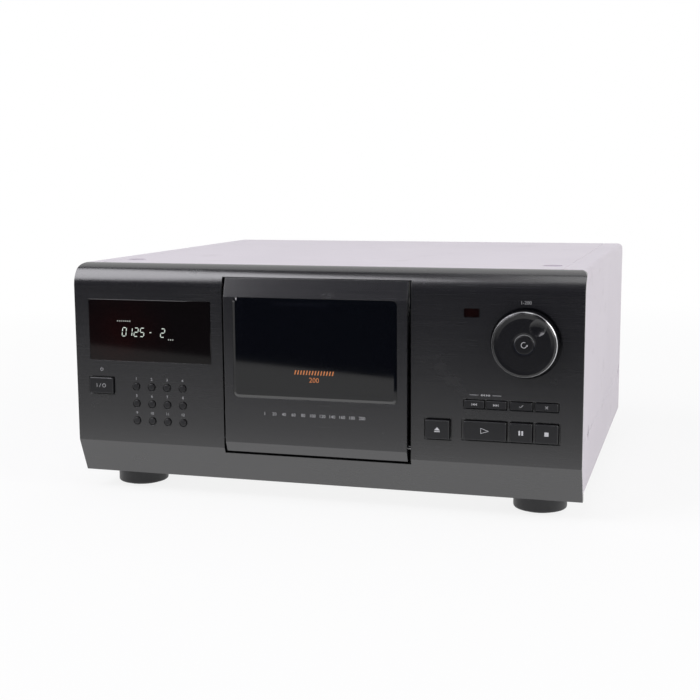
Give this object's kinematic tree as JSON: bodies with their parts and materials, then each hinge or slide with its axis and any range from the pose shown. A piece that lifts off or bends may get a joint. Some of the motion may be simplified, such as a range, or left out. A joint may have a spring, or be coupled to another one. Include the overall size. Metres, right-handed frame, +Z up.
{
  "type": "cd mega changer",
  "caption": "Carousel compact-disc changer for a hi-fi stack: hinged front door with a smoked window, display, jog dial, push keys, folded cover and round feet.",
  "frame": {"origin": "middle of the whole outline, on the surface that the feet stand on", "axes": "+X to the right seen from the front, +Y from the front to the back, +Z up"},
  "size_m": [0.43, 0.4, 0.197],
  "materials": {
    "case_paint": "satin light grey paint",
    "front_black": "satin black with fine level lines",
    "door_black": "satin black with fine level lines",
    "smoke": "smoked, glossy",
    "display_lens": "dark smoked, glossy",
    "sensor_red": "dark red, glossy",
    "tube_glass": "display glass",
    "button_black": "satin black",
    "dial_black": "satin black",
    "zinc": "zinc-plated sheet steel",
    "steel": "bright steel",
    "screw_steel": "painted screw heads",
    "foot_plastic": "dark grey",
    "pad_rubber": "soft rubber",
    "board": "circuit board",
    "white_plastic": "natural plastic",
    "grey_plastic": "dark grey plastic",
    "motor_steel": "drawn steel can",
    "jack_metal": "plated",
    "socket_black": "black plastic",
    "core_iron": "varnished core"
  },
  "bodies": {
    "case": {"front_panel": "front_black", "top_cover": "case_paint", "chassis_pan": "zinc", "rear_panel": "case_paint", "feet": "foot_plastic", "foot_pads": "pad_rubber", "cover_screws": "screw_steel", "display_window": "display_lens", "sensor_window": "sensor_red", "display_tube": "tube_glass", "control_boards": "board", "key_switches": "socket_black", "dial_encoder": "grey_plastic", "door_damper": "grey_plastic", "transformer": "core_iron", "main_board": "board", "phono_jacks": "jack_metal", "control_jacks": "socket_black", "optical_jack": "socket_black", "mains_inlet": "socket_black", "carousel_base": "grey_plastic", "carousel_motor": "motor_steel", "mechanism_frame": "zinc", "pickup_base": "zinc", "guide_rods": "steel", "spindle_motor": "motor_steel"},
    "door": {"front_door": "door_black", "door_window": "smoke", "hinge_pins": "steel"},
    "damper": {"damper_gear": "white_plastic"},
    "carousel": {"carousel": "grey_plastic", "disc_combs": "grey_plastic"},
    "pinion": {"carousel_pinion": "white_plastic"},
    "dial": {"dial": "dial_black"},
    "enter": {"enter_button": "button_black"},
    "sled": {"optical_sled": "grey_plastic"},
    "platter": {"platter": "white_plastic"},
    "clamp": {"clamp_arm": "steel"},
    "cradle": {"disc_cradle": "white_plastic"},
    "power_key": {"power_button": "button_black"},
    "open_key": {"open_button": "button_black"},
    "play_key": {"play_button": "button_black"},
    "pause_key": {"pause_button": "button_black"},
    "stop_key": {"stop_button": "button_black"},
    "skip_back_key": {"skip_back_button": "button_black"},
    "skip_forward_key": {"skip_forward_button": "button_black"},
    "check_key": {"check_button": "button_black"},
    "clear_key": {"clear_button": "button_black"},
    "mode_key_1": {"mode_button_1": "button_black"},
    "mode_key_2": {"mode_button_2": "button_black"},
    "mode_key_3": {"mode_button_3": "button_black"},
    "mode_key_4": {"mode_button_4": "button_black"},
    "mode_key_5": {"mode_button_5": "button_black"},
    "mode_key_6": {"mode_button_6": "button_black"},
    "mode_key_7": {"mode_button_7": "button_black"},
    "mode_key_8": {"mode_button_8": "button_black"},
    "mode_key_9": {"mode_button_9": "button_black"},
    "mode_key_10": {"mode_button_10": "button_black"},
    "mode_key_11": {"mode_button_11": "button_black"},
    "mode_key_12": {"mode_button_12": "button_black"}
  },
  "joints": [
    {"name": "door_hinge", "type": "hinge", "parent": "case", "child": "door", "pos_m": [0, -0.1815, 0.0527], "axis": [1, 0, 0], "range_deg": [0, 72]},
    {"name": "damper_spin", "type": "hinge", "parent": "case", "child": "damper", "pos_m": [-0.073, -0.17606, 0.07298], "axis": [1, 0, 0], "range_deg": [-232, 0]},
    {"name": "carousel_spin", "type": "hinge", "parent": "case", "child": "carousel", "pos_m": [0, 0.008, 0.0555], "axis": [0, 0, 1], "continuous": true},
    {"name": "pinion_spin", "type": "hinge", "parent": "case", "child": "pinion", "pos_m": [-0.06984, 0.05467, 0.0495], "axis": [0, 0, 1], "continuous": true},
    {"name": "dial_spin", "type": "hinge", "parent": "case", "child": "dial", "pos_m": [0.1708, -0.19, 0.1414], "axis": [0, 1, 0], "continuous": true},
    {"name": "enter_press", "type": "slide", "parent": "case", "child": "enter", "axis": [0, 1, 0], "range_m": [0, 0.0008], "stiffness_N_per_m": 400, "springref_m": -0.001},
    {"name": "power_key_press", "type": "slide", "parent": "case", "child": "power_key", "axis": [0, 1, 0], "range_m": [0, 0.0008], "stiffness_N_per_m": 400, "springref_m": -0.001},
    {"name": "open_key_press", "type": "slide", "parent": "case", "child": "open_key", "axis": [0, 1, 0], "range_m": [0, 0.0008], "stiffness_N_per_m": 400, "springref_m": -0.001},
    {"name": "play_key_press", "type": "slide", "parent": "case", "child": "play_key", "axis": [0, 1, 0], "range_m": [0, 0.0008], "stiffness_N_per_m": 400, "springref_m": -0.001},
    {"name": "pause_key_press", "type": "slide", "parent": "case", "child": "pause_key", "axis": [0, 1, 0], "range_m": [0, 0.0008], "stiffness_N_per_m": 400, "springref_m": -0.001},
    {"name": "stop_key_press", "type": "slide", "parent": "case", "child": "stop_key", "axis": [0, 1, 0], "range_m": [0, 0.0008], "stiffness_N_per_m": 400, "springref_m": -0.001},
    {"name": "skip_back_key_press", "type": "slide", "parent": "case", "child": "skip_back_key", "axis": [0, 1, 0], "range_m": [0, 0.0008], "stiffness_N_per_m": 400, "springref_m": -0.001},
    {"name": "skip_forward_key_press", "type": "slide", "parent": "case", "child": "skip_forward_key", "axis": [0, 1, 0], "range_m": [0, 0.0008], "stiffness_N_per_m": 400, "springref_m": -0.001},
    {"name": "check_key_press", "type": "slide", "parent": "case", "child": "check_key", "axis": [0, 1, 0], "range_m": [0, 0.0008], "stiffness_N_per_m": 400, "springref_m": -0.001},
    {"name": "clear_key_press", "type": "slide", "parent": "case", "child": "clear_key", "axis": [0, 1, 0], "range_m": [0, 0.0008], "stiffness_N_per_m": 400, "springref_m": -0.001},
    {"name": "mode_key_1_press", "type": "slide", "parent": "case", "child": "mode_key_1", "axis": [0, 1, 0], "range_m": [0, 0.0008], "stiffness_N_per_m": 400, "springref_m": -0.001},
    {"name": "mode_key_2_press", "type": "slide", "parent": "case", "child": "mode_key_2", "axis": [0, 1, 0], "range_m": [0, 0.0008], "stiffness_N_per_m": 400, "springref_m": -0.001},
    {"name": "mode_key_3_press", "type": "slide", "parent": "case", "child": "mode_key_3", "axis": [0, 1, 0], "range_m": [0, 0.0008], "stiffness_N_per_m": 400, "springref_m": -0.001},
    {"name": "mode_key_4_press", "type": "slide", "parent": "case", "child": "mode_key_4", "axis": [0, 1, 0], "range_m": [0, 0.0008], "stiffness_N_per_m": 400, "springref_m": -0.001},
    {"name": "mode_key_5_press", "type": "slide", "parent": "case", "child": "mode_key_5", "axis": [0, 1, 0], "range_m": [0, 0.0008], "stiffness_N_per_m": 400, "springref_m": -0.001},
    {"name": "mode_key_6_press", "type": "slide", "parent": "case", "child": "mode_key_6", "axis": [0, 1, 0], "range_m": [0, 0.0008], "stiffness_N_per_m": 400, "springref_m": -0.001},
    {"name": "mode_key_7_press", "type": "slide", "parent": "case", "child": "mode_key_7", "axis": [0, 1, 0], "range_m": [0, 0.0008], "stiffness_N_per_m": 400, "springref_m": -0.001},
    {"name": "mode_key_8_press", "type": "slide", "parent": "case", "child": "mode_key_8", "axis": [0, 1, 0], "range_m": [0, 0.0008], "stiffness_N_per_m": 400, "springref_m": -0.001},
    {"name": "mode_key_9_press", "type": "slide", "parent": "case", "child": "mode_key_9", "axis": [0, 1, 0], "range_m": [0, 0.0008], "stiffness_N_per_m": 400, "springref_m": -0.001},
    {"name": "mode_key_10_press", "type": "slide", "parent": "case", "child": "mode_key_10", "axis": [0, 1, 0], "range_m": [0, 0.0008], "stiffness_N_per_m": 400, "springref_m": -0.001},
    {"name": "mode_key_11_press", "type": "slide", "parent": "case", "child": "mode_key_11", "axis": [0, 1, 0], "range_m": [0, 0.0008], "stiffness_N_per_m": 400, "springref_m": -0.001},
    {"name": "mode_key_12_press", "type": "slide", "parent": "case", "child": "mode_key_12", "axis": [0, 1, 0], "range_m": [0, 0.0008], "stiffness_N_per_m": 400, "springref_m": -0.001},
    {"name": "sled_slide", "type": "slide", "parent": "case", "child": "sled", "axis": [0, 0, -1], "range_m": [0, 0.033]},
    {"name": "platter_spin", "type": "hinge", "parent": "case", "child": "platter", "pos_m": [0, 0.02, 0.118], "axis": [0, 1, 0], "continuous": true},
    {"name": "clamp_swing", "type": "hinge", "parent": "case", "child": "clamp", "pos_m": [0, -0.013, 0.168], "axis": [1, 0, 0], "range_deg": [-8, 0]},
    {"name": "cradle_tilt", "type": "hinge", "parent": "case", "child": "cradle", "pos_m": [0, 0.008, 0.044], "axis": [0, 1, 0], "range_deg": [-8, 8]}
  ],
  "couplings": [
    {"joint": "damper_spin", "follows": "door_hinge", "ratio": -3.2},
    {"joint": "pinion_spin", "follows": "carousel_spin", "ratio": -6}
  ]
}
